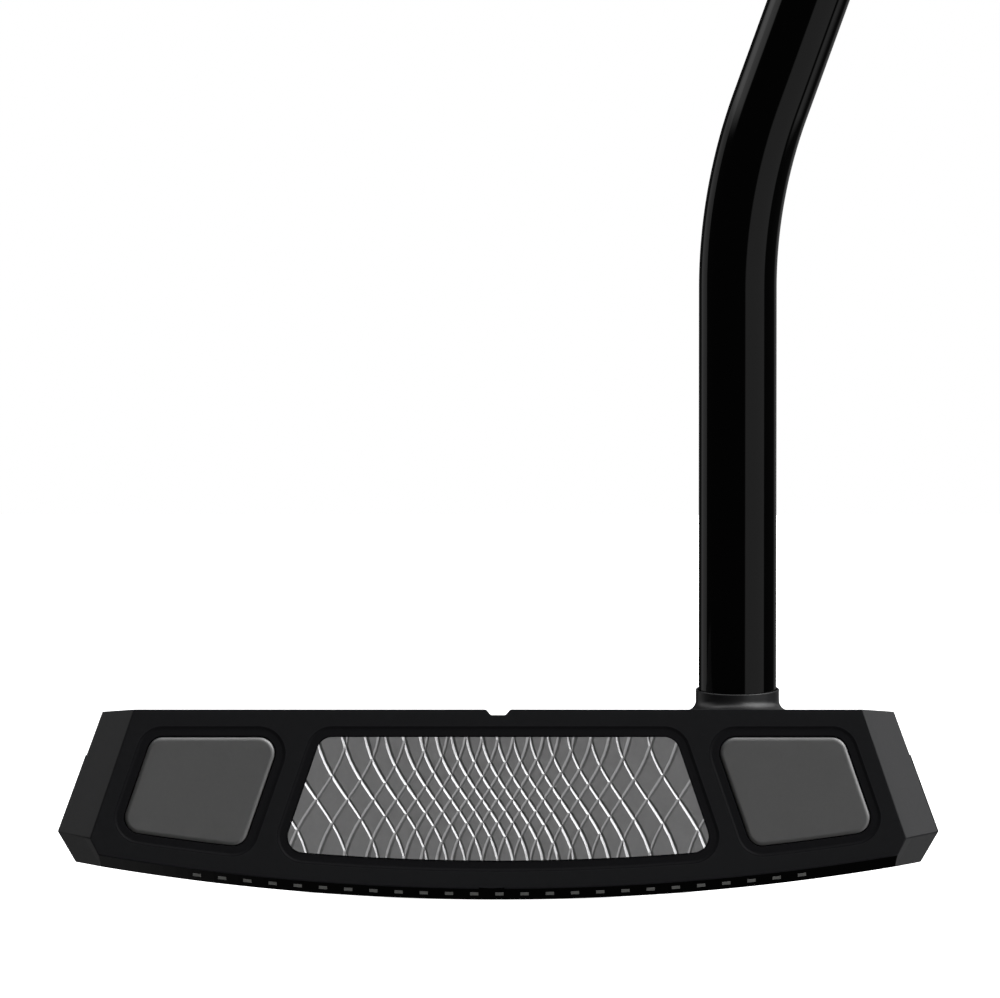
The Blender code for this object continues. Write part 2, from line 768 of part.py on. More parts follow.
def build_front():
    frame = make_piece("face_frame", face_frame_body(), "satin_black")
    join(frame, "hosel", hosel())
    cut(frame, "notch", notch_cutter())
    for name, sides in (("toe", TOE_SIDES), ("insert", INSERT_SIDES), ("heel", HEEL_SIDES)):
        cut(frame, f"{name}_ledge", ledge_cutter(sides))
        cut(frame, f"{name}_pocket", pocket_cutter(sides))
    for x in BODY_SCREW_X:
        cut(frame, "thread_hole", screw_hole(BODY_SCREW, body_screw_place(x), TOP_LINE))
    make_piece("face_insert", panel(INSERT_SIDES), "milled_aluminium")
    make_piece("insert_damping_pad", panel_pad(INSERT_SIDES), "bonding_film")
    for name, sides in (("toe", TOE_SIDES), ("heel", HEEL_SIDES)):
        make_piece(f"{name}_tungsten_weight", panel(sides), "tungsten_grey")
        make_piece(f"{name}_weight_pad", panel_pad(sides), "bonding_film")


def build_rear():
    body = make_piece("rear_body", rear_body_shell(), "satin_black")
    for mirror in (-1, 1):
        cut(body, "window", window_cutter(mirror))
    cut(body, "plate_pocket", plate_shape(GAP, -PLATE_TOP))
    cut(body, "damper_cavity", cavity_shape())
    for number, x in enumerate(BODY_SCREW_X, start=1):
        place = body_screw_place(x)
        cut(body, "body_screw_hole", screw_hole(BODY_SCREW, place, BODY_SCREW[3] * 2))
        make_piece(f"body_screw_{number}", screw_shape(BODY_SCREW, place), "dark_screw", smooth=True)


def build_sole():
    body = bpy.data.objects["rear_body"]
    plate = make_piece("sole_plate", plate_shape(), "gloss_black")
    make_piece("cavity_damper", cavity_shape(GAP), "elastomer")
    for name, place in plate_screws():
        cut(plate, "countersink", screw_hole(PLATE_SCREW, place, PLATE_TOP, countersunk=True))
        cut(body, "plate_screw_hole", screw_hole(PLATE_SCREW, place, PLATE_TOP, countersunk=True))
        shape = screw_shape(PLATE_SCREW, place, countersunk=True)
        make_piece(name, shape, "dark_screw", smooth=True)


def build_alignment_bar():
    body = bpy.data.objects["rear_body"]
    bar = make_piece("alignment_bar", alignment_bar_shape(), "satin_black")
    cut(bar, "sight_slot", sight_slot())
    make_piece("sight_line_inlay", sight_slot(GAP), "white_inlay")
    for end, y in BAR_SCREW_Y.items():
        place = bar_screw_place(y)
        cut(bar, "bar_thread_hole", screw_hole(BAR_SCREW, place, BAR_SCREW[3] * 2))
        cut(body, "bar_screw_hole", screw_hole(BAR_SCREW, place, BAR_SCREW[3] * 2))
        make_piece(f"bar_screw_{end}", screw_shape(BAR_SCREW, place), "dark_screw", smooth=True)


def build_shaft_and_grip():
    make_piece("shaft", shaft_shape(), "gloss_black", smooth=True)
    make_piece("grip_tape", grip_tape_shape(), "bonding_film", smooth=True)
    make_piece("grip_core", grip_core_shape(), "foam_core", smooth=True)
    make_piece("grip_skin", grip_skin_shape(), "grip_skin", smooth=True)
    make_piece("grip_butt_cap", grip_cap_shape(), "grip_cap", smooth=True)


clear_scene()
build_front()
build_rear()
build_sole()
build_alignment_bar()
build_shaft_and_grip()
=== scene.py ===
"""The looks of a mallet putter, built round its CAD frame.

Everything is in metres in the CAD's frame: +Z up, the face towards -Y, the heel at +X.
"""

import json
import math

import bmesh
import bpy
from mathutils import Matrix, Vector


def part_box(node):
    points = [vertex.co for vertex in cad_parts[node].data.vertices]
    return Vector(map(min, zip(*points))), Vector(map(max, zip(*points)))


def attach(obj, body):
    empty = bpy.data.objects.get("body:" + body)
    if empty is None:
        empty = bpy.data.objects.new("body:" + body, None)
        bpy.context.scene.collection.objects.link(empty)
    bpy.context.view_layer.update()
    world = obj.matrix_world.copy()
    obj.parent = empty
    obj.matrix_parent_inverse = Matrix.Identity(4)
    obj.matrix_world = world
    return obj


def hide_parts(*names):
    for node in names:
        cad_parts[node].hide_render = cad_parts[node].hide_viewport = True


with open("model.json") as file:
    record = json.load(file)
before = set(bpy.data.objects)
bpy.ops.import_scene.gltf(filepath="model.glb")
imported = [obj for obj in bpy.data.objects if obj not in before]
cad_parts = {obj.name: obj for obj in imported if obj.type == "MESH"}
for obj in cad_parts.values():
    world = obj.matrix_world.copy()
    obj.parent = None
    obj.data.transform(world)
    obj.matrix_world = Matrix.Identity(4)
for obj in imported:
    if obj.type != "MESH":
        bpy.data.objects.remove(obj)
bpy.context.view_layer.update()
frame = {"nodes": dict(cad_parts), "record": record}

MM = 0.001
MERGE_DISTANCE = 0.001 * MM  # points nearer than this are one point

# The front block's shape. Each corner is (half width, height above the ground).
SOLE_RADIUS = 290 * MM
SOLE_SEGMENTS = 63
LOFT = math.radians(3)
FACE_Y = -30 * MM
TOP_LINE = 23.0 * MM
FACE_TOP = (44.0 * MM, TOP_LINE)
FACE_SIDE = (49.3 * MM, 7.43 * MM)
FACE_LOW_HALF = 48.3 * MM
OUTER_TOP = (47.87 * MM, 22.7 * MM)
OUTER_SIDE = (53.2 * MM, 8.15 * MM)
OUTER_LOW_HALF = 51.1 * MM
STRIP_HEIGHT = 1.39 * MM
STRIP_DEPTH = 0.88 * MM
STRIP_LOW_HALF = 48.0 * MM
CHAMFER_DEPTH = 4.5 * MM
CROWN_HALF = 43.5 * MM
CROWN_SLOPE = math.tan(math.radians(1))
BLOCK_BACK_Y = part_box("face_frame")[1].y
EDGE_BEVEL = 0.09 * MM
EDGE_TURN = math.radians(20)  # edges sharper than this are rounded
NOTCH_REACH = 2 * MM  # edges this near to the middle belong to the notch and stay sharp
CORNER_STEPS = 10

# The front block's finishes and shading.
# The pockets' slot wears painted shade: a black that reflects far less than the block's paint.
RECESS_SLOT = 1
STRIP_SLOT = 2
COLLAR_SLOT = 3
STRIP_NORMAL_Y = -0.5  # the strip's faces are those whose normal has a Y below this
STRIP_NORMAL_Z = (-0.7, -0.4)  # and a Z between these
BLOCK_CREASE = 14  # degrees; a sharper turn between two faces is a crease
FLAT_AREA = 2 * MM * MM  # faces of the block above this size are shaded flat
FACE_MATCH = 0.99999  # so are faces whose normal is this near to the face plane's

# The alignment notch: half widths and depths from the crown down.
NOTCH_STEPS = ((1.62 * MM, 0.0), (1.40 * MM, 0.08 * MM), (0.98 * MM, 0.60 * MM), (0.78 * MM, 0.71 * MM))
NOTCH_SHARE = 0.95  # behind the face plane the notch has this share of its depth

# The row of dashes on the strip, at these shares of its height.
DASH_COUNT = 25
DASH_FIRST = -36.4 * MM
DASH_LAST = 36.7 * MM
DASH_WIDTH = 1.0 * MM
DASH_PROUD = 0.02 * MM
DASH_SHARES = (0.38, 0.64)

# Pockets, weights and insert. A side is (x at PANEL_MID, slope dx/dz).
PANEL_MID = 13.16 * MM
PANEL_TOP = 19.65 * MM
PANEL_ABOVE_SOLE = 4.74 * MM
PANEL_CORNER = 1.93 * MM
PANEL_BOTTOM_STEP = 4.4 * MM  # about how far apart the points of the curved bottom are
PANEL_THICKNESS = 3.8 * MM
SETTLE_ROUNDS = 6  # rounds that find where a straight side meets the curved bottom
INSERT_SIDES = ((-23.63 * MM, 0.344), (23.63 * MM, -0.344))
TOE_SIDES = ((-44.12 * MM, 0.348), (-28.46 * MM, 0.348))
HEEL_SIDES = ((28.26 * MM, -0.348), (43.92 * MM, -0.348))
LEDGE_WIDTH = 1.12 * MM
LEDGE_DEPTH = 0.10 * MM
LEDGE_FILLET = 0.20 * MM  # half the width of the soft step down to the ledge
LEDGE_STEPS = 8
POCKET_START = -1 * MM  # in front of the face plane
POCKET_GAP = 0.10 * MM
POCKET_LIP = 0.05 * MM
WEIGHT_EDGE = 0.48 * MM  # width and depth of the rounding of the front edge
WEIGHT_EDGE_DEPTH = 0.28 * MM
WEIGHT_EDGE_STEPS = 6

# The milled pattern: two mirrored families of V grooves. At the height GROOVE_MID the groove number k
# is at GROOVE_SPREAD * tan(GROOVE_ANGLE * k), and from there it sways like a sine wave.
GROOVE_COUNT = 10  # each side of the middle one
GROOVE_SPREAD = 19.13 * MM
GROOVE_ANGLE = 0.0947
GROOVE_SWAY = 3.81 * MM
GROOVE_RISE = 5.56 * MM
GROOVE_MID = 12.13 * MM
GROOVE_WIDTH = 0.50 * MM
GROOVE_SLOPE = math.tan(math.radians(33))
GROOVE_WEAVE = 0.12  # how much one family is deeper than the other, away from the middle
WEAVE_WIDTH = 12 * MM
WEAVE_HEIGHT = 4 * MM
WEAVE_CHANGE = 3  # how fast the deeper family changes over the width and the height
GROOVE_CREASE = 8  # degrees
PATTERN_REACH = 31 * MM
PATTERN_SWAY = 0.995 * GROOVE_SWAY + 1.5 * MM  # how far off the middle line the mesh lines may cross
CUT_TOLERANCE = 1e-7

# The hosel and the shaft.
HOSEL_X = 28.95 * MM
HOSEL_BEHIND_FACE = 6.36 * MM
HOSEL_LEAN = math.radians(8)
COLLAR_RADIUS = 5.05 * MM
COLLAR_BORE = 4.80 * MM
COLLAR_HEIGHT = 2.6 * MM
COLLAR_FLARE = 1.2 * MM
COLLAR_ROOT = 0.5 * MM  # how deep the collar's solid goes into the block
COLLAR_STEPS = 12
COLLAR_RIM = 0.06 * MM
SHAFT_RADIUS = 4.7 * MM
SHAFT_WALL = 0.5 * MM
SHAFT_BUTT_RADIUS = 7.35 * MM
SHAFT_FOOT = 0.6 * MM  # how far above the crown the tube starts, inside the collar
BEND_START = 51.5 * MM
BEND_RADIUS = 60.5 * MM
BEND_STEPS = 48
LIE = math.radians(70)
TAPER_START = 60 * MM
TAPER_LENGTH = 400 * MM
TAPER_STEPS = 24
ROUND_SIDES = 96

# The seams: thin slices in the gaps behind the front block and under the grip's cap.
SEAM_GAP = 0.3 * MM
SEAM_GROOVE = 0.25 * MM  # how deep each seam lies below the surfaces beside it

# Shading and rounding that the pieces and the CAD nodes share.
CREASE = 30  # degrees
END_SIDES = 5  # a piece's faces with this many sides or more are shaded flat
SMOOTH_TURN = math.radians(25)
FLAT_TURN = math.radians(0.3)
BEVEL_TURN = math.radians(30)
BEVEL_SEGMENTS = 3
SOFT_EDGES = {"rear_body": 0.35 * MM, "alignment_bar": 0.25 * MM, "sole_plate": 0.12 * MM}

# The finishes. A scale is in features per metre.
BLACK = (0.0062, 0.0064, 0.0080)
NOISE_LOW = 0.3  # most of a noise texture's values lie between these two
NOISE_HIGH = 0.7
ROUGHNESS_CHANGE = 0.05
PEBBLE_SCALE = 620
PEBBLE_DEPTH = 0.25 * MM
WORN_SCALE = 30

# The camera looks level at the face, from the front.
CAMERA_DISTANCE = 4.0
CAMERA_X = 0.22 * MM
CAMERA_Z = 48.42 * MM
CAMERA_REACH = 100.0
FRAME_WIDTH = 120.8 * MM
SENSOR_WIDTH = 36.0

# The floor.
FLOOR_HALF = 300.0
FLOOR_DROP = 0.02 * MM  # how far it lies below the sole

# The studio: panels of light, each (azimuths, elevations, soft edge, strength). Angles are in
# degrees; azimuth 0 is the front and 90 the heel side.
AMBIENT = 0.02  # the light between the panels
LIGHT_PANELS = (
    ((25, 85), (25, 60), 8, 3.2),
    ((25, 84), (-45, 22), 4, 0.33),
    ((45, 84), (-62, -24), 4, 0.45),
    ((82, 128), (20, 60), 6, 1.5),
    ((98, 135), (-55, -22), 6, 0.8),
    ((-128, -84), (20, 60), 6, 0.6),
    ((-135, -98), (-55, -22), 6, 0.34),
    ((-136, -107), (-20, 20), 2, 0.26),
    ((146, 200), (-20, 60), 12, 0.15),
    ((-70, -17), (-82, -48), 2, 0.24),
    ((-70, 15), (40, 60), 8, 0.15),
    ((-200, 200), (62, 100), 8, 1.1),
)

# Shapes


def loft(rings, closed=False):
    """A skin through rings of equally many points, capped at its ends or closed on itself."""
    shape = bmesh.new()
    loops = [[shape.verts.new(point) for point in ring] for ring in rings]
    pairs = list(zip(loops, loops[1:]))
    if closed:
        pairs.append((loops[-1], loops[0]))
    else:
        shape.faces.new(loops[0])
        shape.faces.new(loops[-1])
    count = len(rings[0])
    for near, far in pairs:
        for i in range(count):
            j = (i + 1) % count
            shape.faces.new((near[i], near[j], far[j], far[i]))
    bmesh.ops.recalc_face_normals(shape, faces=shape.faces)
    return shape


def circle(radius, height, place=Matrix()):
    """A ring of points round the Z axis of the place."""
    turns = [2 * math.pi * i / ROUND_SIDES for i in range(ROUND_SIDES)]
    return [place @ Vector((radius * math.cos(a), radius * math.sin(a), height)) for a in turns]


def rounded(corners):
    """The outline through (x, y, radius) corners, each one turned into an arc of its radius."""
    outline = []
    for i, (x, y, radius) in enumerate(corners):
        corner = Vector((x, y))
        if not radius:
            outline.append(corner)
            continue
        before = (Vector(corners[i - 1][:2]) - corner).normalized()
        after = (Vector(corners[(i + 1) % len(corners)][:2]) - corner).normalized()
        half_angle = before.angle(after) / 2
        centre = corner + (before + after).normalized() * radius / math.sin(half_angle)
        reach = radius / math.tan(half_angle)
        start = (corner + before * reach - centre).normalized()
        end = (corner + after * reach - centre).normalized()
        for step in range(CORNER_STEPS + 1):
            outline.append(centre + start.slerp(end, step / CORNER_STEPS) * radius)
    return outline


def make_piece(name, shape, material, *nodes, slot=None, crease=CREASE):
    """An object that rides on the putter and stands for the given CAD nodes."""
    mesh = bpy.data.meshes.new(name)
    shape.to_mesh(mesh)
    shape.free()
    piece = bpy.data.objects.new(name, mesh)
    bpy.context.scene.collection.objects.link(piece)
    mesh.materials.append(material)
    mesh.shade_smooth()
    mesh.set_sharp_from_angle(angle=math.radians(crease))
    for polygon in mesh.polygons:
        polygon.use_smooth = len(polygon.vertices) < END_SIDES
    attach(piece, "root")
    if nodes:
        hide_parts(*nodes)
    return piece


# Node materials


def new_material(name):
    """A material, with its nodes, its links and its main shader."""
    material = bpy.data.materials.new(name)
    material.use_nodes = True
    nodes = material.node_tree.nodes
    return material, nodes, material.node_tree.links, nodes["Principled BSDF"]


def noise(nodes, links, scale):
    """A noise texture in object space, with this many features per metre."""
    place = nodes.new("ShaderNodeTexCoord")
    texture = nodes.new("ShaderNodeTexNoise")
    texture.inputs["Scale"].default_value = scale
    links.new(place.outputs["Object"], texture.inputs["Vector"])
    return texture.outputs["Fac"]


def spread(nodes, links, value, low, high):
    """Maps a noise's middle range to low..high."""
    ranged = nodes.new("ShaderNodeMapRange")
    ranged.inputs["From Min"].default_value = NOISE_LOW
    ranged.inputs["From Max"].default_value = NOISE_HIGH
    ranged.inputs["To Min"].default_value = low
    ranged.inputs["To Max"].default_value = high
    links.new(value, ranged.inputs["Value"])
    return ranged.outputs["Result"]


def vary_colour(nodes, links, shader, value, colour, change):
    """Base colour between two shades of `colour`, by the noise value."""
    mix = nodes.new("ShaderNodeMix")
    mix.data_type = "RGBA"
    mix.inputs["A"].default_value = (*(c * (1 - change) for c in colour), 1)
    mix.inputs["B"].default_value = (*(c * (1 + change) for c in colour), 1)
    links.new(value, mix.inputs["Factor"])
    links.new(mix.outputs["Result"], shader.inputs["Base Color"])


def add_bump(nodes, links, shader, value, height):
    """Bumps of this height, in metres, that follow the value."""
    bump = nodes.new("ShaderNodeBump")
    bump.inputs["Strength"].default_value = 1.0
    bump.inputs["Distance"].default_value = height
    links.new(value, bump.inputs["Height"])
    links.new(bump.outputs["Normal"], shader.inputs["Normal"])


def surface(name, colour, roughness, metallic=0.0, specular=0.5, grain=9000, depth=0.003 * MM, change=0.06):
    """A finish whose colour, roughness and surface vary finely; grain is the scale of its bumps."""
    material, nodes, links, shader = new_material(name)
    shader.inputs["Metallic"].default_value = metallic
    shader.inputs["Specular IOR Level"].default_value = specular
    fine = noise(nodes, links, grain)
    broad = noise(nodes, links, grain / 4)
    vary_colour(nodes, links, shader, broad, colour, change)
    smoother = roughness * (1 - ROUGHNESS_CHANGE)
    rougher = roughness * (1 + ROUGHNESS_CHANGE)
    links.new(spread(nodes, links, broad, smoother, rougher), shader.inputs["Roughness"])
    add_bump(nodes, links, shader, fine, depth)
    return material


# The front block


def sole_height(x):
    """How high the curved sole is above the ground."""
    return SOLE_RADIUS - math.sqrt(SOLE_RADIUS**2 - x**2)


def crown_height(y):
    """How high the gently sloping crown is above the ground."""
    return TOP_LINE - CROWN_SLOPE * (y - FACE_Y)


def behind_face(distance, x, z):
    """The point this far behind the leaning face plane."""
    return (x, FACE_Y + distance + z * math.tan(LOFT), z)


def block_section(top, side, low_half, y, notch_share, lift=0.0):
    """(x, z) points round the block: crown with its notch, heel, sole and toe."""
    level = crown_height(y)
    notch = [(half, level - depth * notch_share) for half, depth in NOTCH_STEPS]
    crown = [(-CROWN_HALF, level), *((-x, z) for x, z in notch), *notch[::-1], (CROWN_HALF, level)]
    xs = [low_half * (1 - 2 * i / SOLE_SEGMENTS) for i in range(SOLE_SEGMENTS + 1)]
    sole = [(x, sole_height(x) + lift) for x in xs]
    return [(-top[0], top[1]), *crown, top, side, *sole, (-side[0], side[1])]


def between(a, b, share):
    """The point at this share of the way from a to b."""
    return tuple(p + (q - p) * share for p, q in zip(a, b))


def panel_outline(sides, grow=0.0):
    """(x, z) outline of a pocket or of the piece in it, with straight sides and a sole-like bottom."""
    top = PANEL_TOP + grow
    lines = []
    for direction, (middle, slope) in zip((-1, 1), sides):
        lines.append((middle + direction * grow * math.hypot(1, slope), slope))

    def on_line(line, z):
        return line[0] + line[1] * (z - PANEL_MID)

    def bottom(x):
        return sole_height(x) + PANEL_ABOVE_SOLE - grow

    lows = []
    for line in lines:
        z = PANEL_MID
        for _ in range(SETTLE_ROUNDS):
            z = bottom(on_line(line, z))
        lows.append((on_line(line, z), z))
    radius = PANEL_CORNER + grow
    count = int((sides[1][0] - sides[0][0]) / PANEL_BOTTOM_STEP)
    middle_xs = [lows[1][0] + (lows[0][0] - lows[1][0]) * i / count for i in range(1, count)]
    corners = [
        (on_line(lines[0], top), top, radius),
        (on_line(lines[1], top), top, radius),
        (*lows[1], radius),
        *((x, bottom(x), 0) for x in middle_xs),
        (*lows[0], radius),
    ]
    return rounded(corners)


def pocket_cutter(sides):
    """A pocket from in front of the face plane inwards: soft step, ledge and pocket wall."""
    profile = [(LEDGE_WIDTH + LEDGE_FILLET, POCKET_START)]
    for step in range(LEDGE_STEPS + 1):
        share = step / LEDGE_STEPS
        grow = LEDGE_WIDTH + LEDGE_FILLET * (1 - 2 * share)
        profile.append((grow, LEDGE_DEPTH * (1 - math.cos(math.pi * share)) / 2))
    profile.append((POCKET_GAP + POCKET_LIP, LEDGE_DEPTH))
    profile.append((POCKET_GAP, LEDGE_DEPTH + POCKET_LIP))
    profile.append((POCKET_GAP, PANEL_THICKNESS))
    return loft(
        [[behind_face(depth, x, z) for x, z in panel_outline(sides, grow)] for grow, depth in profile]
    )


def hosel_place():
    """The hosel's frame: its middle on the crown, and Z up its leaning axis."""
    along_face = FACE_Y + TOP_LINE * math.tan(LOFT) + HOSEL_BEHIND_FACE
    on_crown = Vector((HOSEL_X, along_face, crown_height(along_face)))
    return Matrix.Translation(on_crown) @ Matrix.Rotation(HOSEL_LEAN, 4, "X")


def hosel_ring(radius, height, follow=0.0):
    """A ring round the hosel's axis. With follow 1 it lies along the crown, with 0 it is square."""
    slope = follow * math.tan(HOSEL_LEAN + math.atan(CROWN_SLOPE))
    place = hosel_place()
    flat = circle(radius, height)
    return [place @ Vector((point.x, point.y, point.z - slope * point.y)) for point in flat]


def hosel_shape():
    """The collar: a bored rim, flared onto the crown."""
    rings = [hosel_ring(COLLAR_RADIUS, -COLLAR_ROOT, 1.0)]
    for step in range(COLLAR_STEPS + 1):
        turn = math.pi / 2 * step / COLLAR_STEPS
        radius = COLLAR_RADIUS + COLLAR_FLARE * (1 - math.sin(turn))
        rings.append(hosel_ring(radius, COLLAR_FLARE * (1 - math.cos(turn)), 1.0))
    rings += [
        hosel_ring(COLLAR_RADIUS, COLLAR_HEIGHT - COLLAR_RIM),
        hosel_ring(COLLAR_RADIUS - COLLAR_RIM, COLLAR_HEIGHT),
        hosel_ring(COLLAR_BORE + COLLAR_RIM, COLLAR_HEIGHT),
        hosel_ring(COLLAR_BORE, COLLAR_HEIGHT - COLLAR_RIM),
        hosel_ring(COLLAR_BORE, 0.0, 1.0),
    ]
    return loft(rings)


def block_shape():
    """The front block before its pockets, with its edges rounded."""
    share = STRIP_DEPTH / CHAMFER_DEPTH
    strip_y = FACE_Y + STRIP_DEPTH
    outer_y = FACE_Y + CHAMFER_DEPTH
    back_top = (OUTER_TOP[0], OUTER_TOP[1] + crown_height(BLOCK_BACK_Y) - crown_height(outer_y))
    face = block_section(FACE_TOP, FACE_SIDE, FACE_LOW_HALF, FACE_Y, 1.0, STRIP_HEIGHT)
    strip_top = between(FACE_TOP, OUTER_TOP, share)
    strip_side = between(FACE_SIDE, OUTER_SIDE, share)
    strip = block_section(strip_top, strip_side, STRIP_LOW_HALF, strip_y, NOTCH_SHARE)
    outer = block_section(OUTER_TOP, OUTER_SIDE, OUTER_LOW_HALF, outer_y, NOTCH_SHARE)
    back = block_section(back_top, OUTER_SIDE, OUTER_LOW_HALF, BLOCK_BACK_Y, NOTCH_SHARE)
    shape = loft(
        [
            [behind_face(0.0, x, z) for x, z in face],
            [behind_face(STRIP_DEPTH, x, z) for x, z in strip],
            [behind_face(CHAMFER_DEPTH, x, z) for x, z in outer],
            [(x, BLOCK_BACK_Y, z) for x, z in back],
        ]
    )
    edges = [
        edge for edge in shape.edges
        if edge.calc_face_angle() > EDGE_TURN and abs(edge.verts[0].co.x) > NOTCH_REACH
    ]
    bmesh.ops.bevel(shape, geom=edges, offset=EDGE_BEVEL, segments=2, profile=0.5, affect="EDGES")
    for face in shape.faces:
        if face.normal.y < STRIP_NORMAL_Y and STRIP_NORMAL_Z[0] < face.normal.z < STRIP_NORMAL_Z[1]:
            face.material_index = STRIP_SLOT
    return shape


def combine(block, shape, operation, slot=0):
    """Applies an exact Boolean with the shape, whose faces take the block's material slot."""
    for face in shape.faces:
        face.material_index = slot
    mesh = bpy.data.meshes.new("tool")
    shape.to_mesh(mesh)
    shape.free()
    tool = bpy.data.objects.new("tool", mesh)
    bpy.context.scene.collection.objects.link(tool)
    boolean = block.modifiers.new("boolean", "BOOLEAN")
    boolean.operation = operation
    boolean.solver = "EXACT"
    boolean.object = tool
    graph = bpy.context.evaluated_depsgraph_get()
    block.data = bpy.data.meshes.new_from_object(block.evaluated_get(graph))
    block.modifiers.clear()
    bpy.data.objects.remove(tool)


def shade_block(mesh):
    """Flat shading on flats, and smooth shading over the gentle turns between small faces."""
    mesh.shade_smooth()
    mesh.set_sharp_from_angle(angle=math.radians(BLOCK_CREASE))
    front = Vector((0, -math.cos(LOFT), math.sin(LOFT)))
    for polygon in mesh.polygons:
        polygon.use_smooth = polygon.area < FLAT_AREA and polygon.normal.dot(front) < FACE_MATCH


def make_front_block(materials):
    """The block with its three pockets cut out and its collar added."""
    block = make_piece("front_block", block_shape(), materials["front_block"], "face_frame",
                       slot="front_block")
    # The order of these is the order of the slot numbers.
    for finish in ("recess", "strip", "collar"):
        block.data.materials.append(materials[finish])
    for sides in (TOE_SIDES, INSERT_SIDES, HEEL_SIDES):
        combine(block, pocket_cutter(sides), "DIFFERENCE", RECESS_SLOT)
    combine(block, hosel_shape(), "UNION", COLLAR_SLOT)
    shade_block(block.data)


def strip_point(x, share, proud):
    """A point this proud of the strip, with share 0 at its lower edge and 1 at its upper edge."""
    slope = math.atan2(STRIP_HEIGHT, STRIP_DEPTH)
    x, y, z = behind_face(STRIP_DEPTH * (1 - share), x, sole_height(x) + STRIP_HEIGHT * share)
    return x, y - proud * math.sin(slope), z - proud * math.cos(slope)


def dashes_shape():
    """Short bars in a row, slightly proud of the strip."""
    shape = bmesh.new()
    low, high = DASH_SHARES
    for i in range(DASH_COUNT):
        middle = DASH_FIRST + (DASH_LAST - DASH_FIRST) * i / (DASH_COUNT - 1)
        left = middle - DASH_WIDTH / 2
        right = middle + DASH_WIDTH / 2
        corners = ((left, low), (right, low), (right, high), (left, high))
        back = [shape.verts.new(strip_point(x, share, -DASH_PROUD)) for x, share in corners]
        front = [shape.verts.new(strip_point(x, share, DASH_PROUD)) for x, share in corners]
        shape.faces.new(front)
        shape.faces.new(back)
        for j in range(len(corners)):
            k = (j + 1) % len(corners)
            shape.faces.new((back[j], back[k], front[k], front[j]))
    bmesh.ops.recalc_face_normals(shape, faces=shape.faces)
    return shape


# The milled insert


def groove_lines():
    """(base, half-width offset, depth share) of every mesh line across one family of grooves."""
    middles = [GROOVE_SPREAD * math.tan(GROOVE_ANGLE * k) for k in range(-GROOVE_COUNT, GROOVE_COUNT + 1)]
    across = [-1, -2 / 3, -1 / 3, 0, 1 / 3, 2 / 3, 1]
    lines = [(-PATTERN_REACH, 0.0, 0.0), ((-PATTERN_REACH + middles[0]) / 2, 0.0, 0.0)]
    for k, middle in enumerate(middles):
        lines += [(middle, offset, 1 - abs(offset)) for offset in across]
        if k + 1 < len(middles):
            for share in (1 / 3, 2 / 3):
                lines.append((middle + (middles[k + 1] - middle) * share, 1 - 2 * share, 0.0))
    lines.append(((PATTERN_REACH + middles[-1]) / 2, 0.0, 0.0))
    lines.append((PATTERN_REACH, 0.0, 0.0))
    return lines


def pattern_point(u_a, u_b):
    """(x, z) where the lines u_a of one family and u_b of the mirrored family cross."""
    sway = -(u_a + u_b) / 2 / GROOVE_SWAY
    drop = GROOVE_RISE * math.asin(max(-1.0, min(1.0, sway)))
    return (u_a - u_b) / 2, GROOVE_MID - drop


def pattern_vertex(line_a, line_b):
    """The surface point at two mesh lines, with each groove's width and depth at that place."""
    x, z = pattern_point(line_a[0], line_b[0])
    drop = GROOVE_MID - z
    lean = GROOVE_SWAY / GROOVE_RISE * math.cos(drop / GROOVE_RISE)
    weave = GROOVE_WEAVE * math.tanh(WEAVE_CHANGE * (x / WEAVE_WIDTH) * (drop / WEAVE_HEIGHT))
    half = GROOVE_WIDTH / 2 * math.hypot(1, lean)
    u_a = line_a[0] + line_a[1] * half * (1 + weave)
    u_b = line_b[0] + line_b[1] * half * (1 - weave)
    depth = GROOVE_WIDTH / 2 * GROOVE_SLOPE * max(line_a[2] * (1 + weave), line_b[2] * (1 - weave))
    return behind_face(depth, *pattern_point(u_a, u_b))


def add_grooved_face(shape):
    """The pattern's surface, larger than the insert: a triangle mesh on the lines of both families."""
    lines = groove_lines()
    grid = {}
    for i, line_a in enumerate(lines):
        for j, line_b in enumerate(lines):
            if abs(line_a[0] + line_b[0]) / 2 < PATTERN_SWAY:
                grid[i, j] = shape.verts.new(pattern_vertex(line_a, line_b))
    for i, j in grid:
        corners = [grid.get(key) for key in ((i, j), (i + 1, j), (i + 1, j + 1), (i, j + 1))]
        if None in corners:
            continue
        heights = [corner.co.z for corner in corners]
        if max(heights) - min(heights) < MERGE_DISTANCE:
            continue
        # Each quad is split along the crease that runs out from a crossing's middle.
        same_way = (lines[i][1] + lines[i + 1][1]) * (lines[j][1] + lines[j + 1][1]) >= 0
        a, b, c, d = corners
        if same_way:
            shape.faces.new((a, b, c))
            shape.faces.new((a, c, d))
        else:
            shape.faces.new((a, b, d))
            shape.faces.new((b, c, d))


def clip_to_insert(shape):
    """Cuts away what lies outside the insert's outline, side by side."""
    outline = [Vector(point) for point in panel_outline(INSERT_SIDES)]
    for here, after in zip(outline, outline[1:] + outline[:1]):
        along = (after - here).normalized()
        bmesh.ops.bisect_plane(
            shape,
            geom=shape.verts[:] + shape.edges[:] + shape.faces[:],
            dist=CUT_TOLERANCE,
            plane_co=(here.x, 0, here.y),
            plane_no=(-along.y, 0, along.x),
            clear_outer=True,
        )
    bmesh.ops.delete(shape, geom=[v for v in shape.verts if not v.link_faces], context="VERTS")
    bmesh.ops.remove_doubles(shape, verts=shape.verts, dist=MERGE_DISTANCE / 2)


